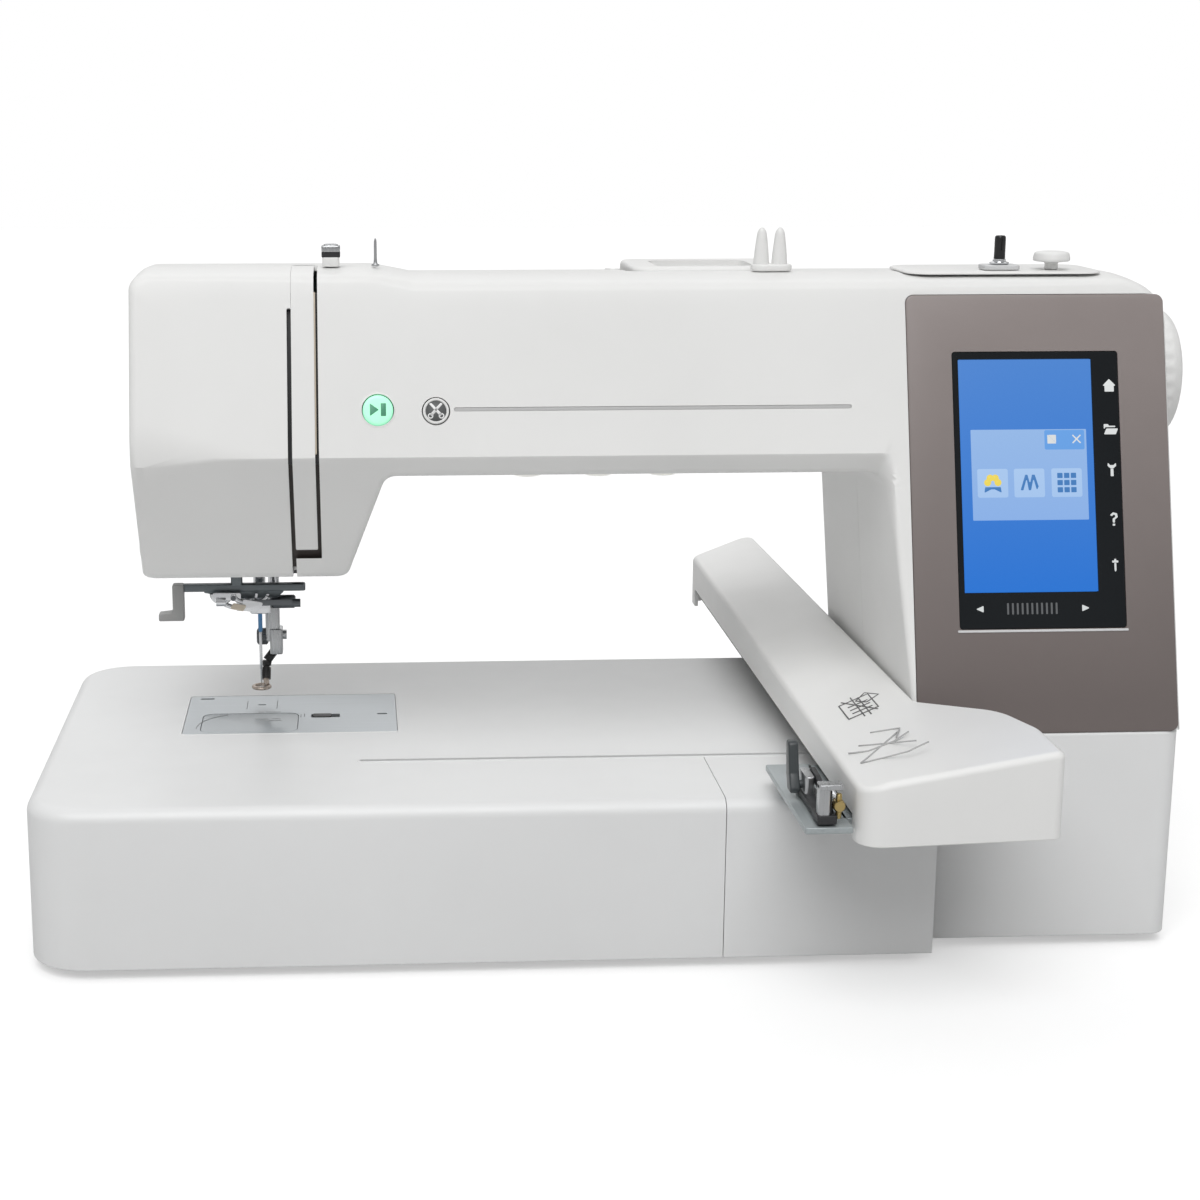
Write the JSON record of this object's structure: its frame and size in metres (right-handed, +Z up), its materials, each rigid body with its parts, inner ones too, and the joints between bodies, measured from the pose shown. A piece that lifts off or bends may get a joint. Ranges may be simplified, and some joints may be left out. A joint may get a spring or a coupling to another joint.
{
  "type": "sewing and embroidery machine",
  "caption": "White computer sewing and embroidery machine with a colour screen, wide work table, moving embroidery arm with hoop carriage, handwheel and folding handle.",
  "frame": {"origin": "bottom centre of the whole machine's bounding box, on the plane its rubber feet stand on", "axes": "+X to the operator's right along the table, +Y away from the operator, +Z up"},
  "size_m": [0.576, 0.4994, 0.339],
  "materials": {
    "shell": "moulded white plastic, fine satin",
    "grey_shell": "moulded light grey plastic",
    "taupe": "painted warm grey",
    "black_gloss": "polished black",
    "screen": "lit display behind glass",
    "black_matte": "moulded black",
    "steel": "brushed",
    "chrome": "plated",
    "cast_alloy": "cast, grey",
    "rubber": "matt",
    "clear": "clear moulding",
    "mint": "lit translucent green",
    "board": "fibreglass board",
    "lens": "frosted lens"
  },
  "bodies": {
    "machine": {"bed_cover": "shell", "unit_cover": "shell", "column_base_cover": "shell", "front_cover": "shell", "rear_cover": "shell", "handle_tray": "shell", "face_cover": "shell", "thread_channel_strip": "shell", "winder_deck": "shell", "thread_guide_post": "shell", "winder_stopper": "shell", "base_pan": "grey_shell", "control_panel": "taupe", "screen_bezel": "black_gloss", "lcd_panel": "screen", "mains_inlet": "black_matte", "needle_plate": "steel", "shaft_bearing_1": "steel", "shaft_bearing_2": "steel", "pretension_guide": "steel", "thread_pin": "steel", "x_rail": "steel", "machine_frame": "cast_alloy", "drive_motor": "cast_alloy", "foot_1": "rubber", "foot_2": "rubber", "foot_3": "rubber", "foot_4": "rubber", "drive_belt": "rubber", "timing_belt": "rubber", "bobbin_cover": "clear", "bobbin": "clear", "control_board": "board", "lamp_lens": "lens"},
    "main_shaft": {"main_shaft": "steel", "handwheel": "shell", "main_pulley": "black_matte"},
    "motor_pulley": {"motor_pulley": "black_matte"},
    "lower_shaft": {"lower_shaft": "steel"},
    "hook": {"rotary_hook": "steel"},
    "needle_bar": {"needle_bar": "chrome", "needle_clamp": "chrome", "needle": "chrome"},
    "take_up_lever": {"take_up_lever": "chrome"},
    "presser_bar": {"presser_bar": "chrome", "presser_foot": "black_matte"},
    "lifter_lever": {"lifter_lever": "black_matte"},
    "threader": {"needle_threader": "black_matte"},
    "start_button": {"start_button": "mint"},
    "cutter_button": {"thread_cutter_button": "shell"},
    "cover_release": {"cover_release": "black_matte"},
    "winder_carriage": {"winder_carriage": "black_matte"},
    "winder_spindle": {"winder_spindle": "steel"},
    "carry_handle": {"carry_handle": "shell"},
    "power_switch": {"power_switch": "black_matte"},
    "embroidery_arm": {"arm_cover": "shell", "arm_chassis": "cast_alloy"},
    "hoop_carriage": {"hoop_carriage": "cast_alloy", "hoop_clamp": "steel"},
    "hoop_lever": {"hoop_lever": "black_matte"}
  },
  "joints": [
    {"name": "main_shaft_spin", "type": "hinge", "parent": "machine", "child": "main_shaft", "pos_m": [0.212, -0.01867, 0.262], "axis": [1, 0, 0], "continuous": true},
    {"name": "motor_spin", "type": "hinge", "parent": "machine", "child": "motor_pulley", "pos_m": [0.2, -0.01867, 0.15], "axis": [1, 0, 0], "continuous": true},
    {"name": "lower_shaft_spin", "type": "hinge", "parent": "machine", "child": "lower_shaft", "pos_m": [0.012, -0.01867, 0.036], "axis": [1, 0, 0], "continuous": true},
    {"name": "hook_spin", "type": "hinge", "parent": "machine", "child": "hook", "pos_m": [-0.1836, -0.01727, 0.06], "axis": [0, 0, 1], "continuous": true},
    {"name": "needle_bar_slide", "type": "slide", "parent": "machine", "child": "needle_bar", "axis": [0, 0, -1], "range_m": [0, 0.031]},
    {"name": "take_up_swing", "type": "hinge", "parent": "machine", "child": "take_up_lever", "pos_m": [-0.1562, -0.04067, 0.283], "axis": [1, 0, 0], "range_deg": [0, 50]},
    {"name": "presser_slide", "type": "slide", "parent": "machine", "child": "presser_bar", "axis": [0, 0, -1], "range_m": [0, 0.0085]},
    {"name": "lifter_swing", "type": "hinge", "parent": "machine", "child": "lifter_lever", "pos_m": [-0.164, 0.02383, 0.178], "axis": [1, 0, 0], "range_deg": [-25, 0]},
    {"name": "threader_slide", "type": "slide", "parent": "machine", "child": "threader", "axis": [0, 0, -1], "range_m": [0, 0.012], "stiffness_N_per_m": 150, "springref_m": -0.005},
    {"name": "start_press", "type": "slide", "parent": "machine", "child": "start_button", "axis": [0, 0.9578, -0.2873], "range_m": [0, 0.001], "stiffness_N_per_m": 500, "springref_m": -0.0005},
    {"name": "cutter_press", "type": "slide", "parent": "machine", "child": "cutter_button", "axis": [0, 0.9578, -0.2873], "range_m": [0, 0.001], "stiffness_N_per_m": 500, "springref_m": -0.0005},
    {"name": "release_slide", "type": "slide", "parent": "machine", "child": "cover_release", "axis": [1, 0, 0], "range_m": [0, 0.004], "stiffness_N_per_m": 200, "springref_m": -0.0005},
    {"name": "winder_slide", "type": "slide", "parent": "machine", "child": "winder_carriage", "axis": [1, 0, 0], "range_m": [0, 0.006]},
    {"name": "winder_spin", "type": "hinge", "parent": "winder_carriage", "child": "winder_spindle", "pos_m": [0.185, -0.06367, 0.324], "axis": [0, 0, 1], "continuous": true},
    {"name": "handle_swing", "type": "hinge", "parent": "machine", "child": "carry_handle", "pos_m": [0.046, -0.03417, 0.3148], "axis": [1, 0, 0], "range_deg": [0, 90]},
    {"name": "power_rock", "type": "hinge", "parent": "machine", "child": "power_switch", "pos_m": [0.256, -0.10867, 0.04], "axis": [0, 1, 0], "range_deg": [0, 12]},
    {"name": "arm_x_slide", "type": "slide", "parent": "machine", "child": "embroidery_arm", "axis": [-1, 0, 0], "range_m": [0, 0.2]},
    {"name": "carriage_y_slide", "type": "slide", "parent": "embroidery_arm", "child": "hoop_carriage", "axis": [0, 1, 0], "range_m": [0, 0.3]},
    {"name": "hoop_lever_swing", "type": "hinge", "parent": "hoop_carriage", "child": "hoop_lever", "pos_m": [0.063, -0.20267, 0.101], "axis": [1, 0, 0], "range_deg": [0, 60]}
  ],
  "couplings": [
    {"joint": "motor_spin", "follows": "main_shaft_spin", "ratio": 3},
    {"joint": "lower_shaft_spin", "follows": "main_shaft_spin", "ratio": 1},
    {"joint": "hook_spin", "follows": "main_shaft_spin", "ratio": 2},
    {"joint": "take_up_swing", "follows": "needle_bar_slide", "rad_per_m": 28.149},
    {"joint": "lifter_swing", "follows": "presser_slide", "rad_per_m": -51.332}
  ]
}
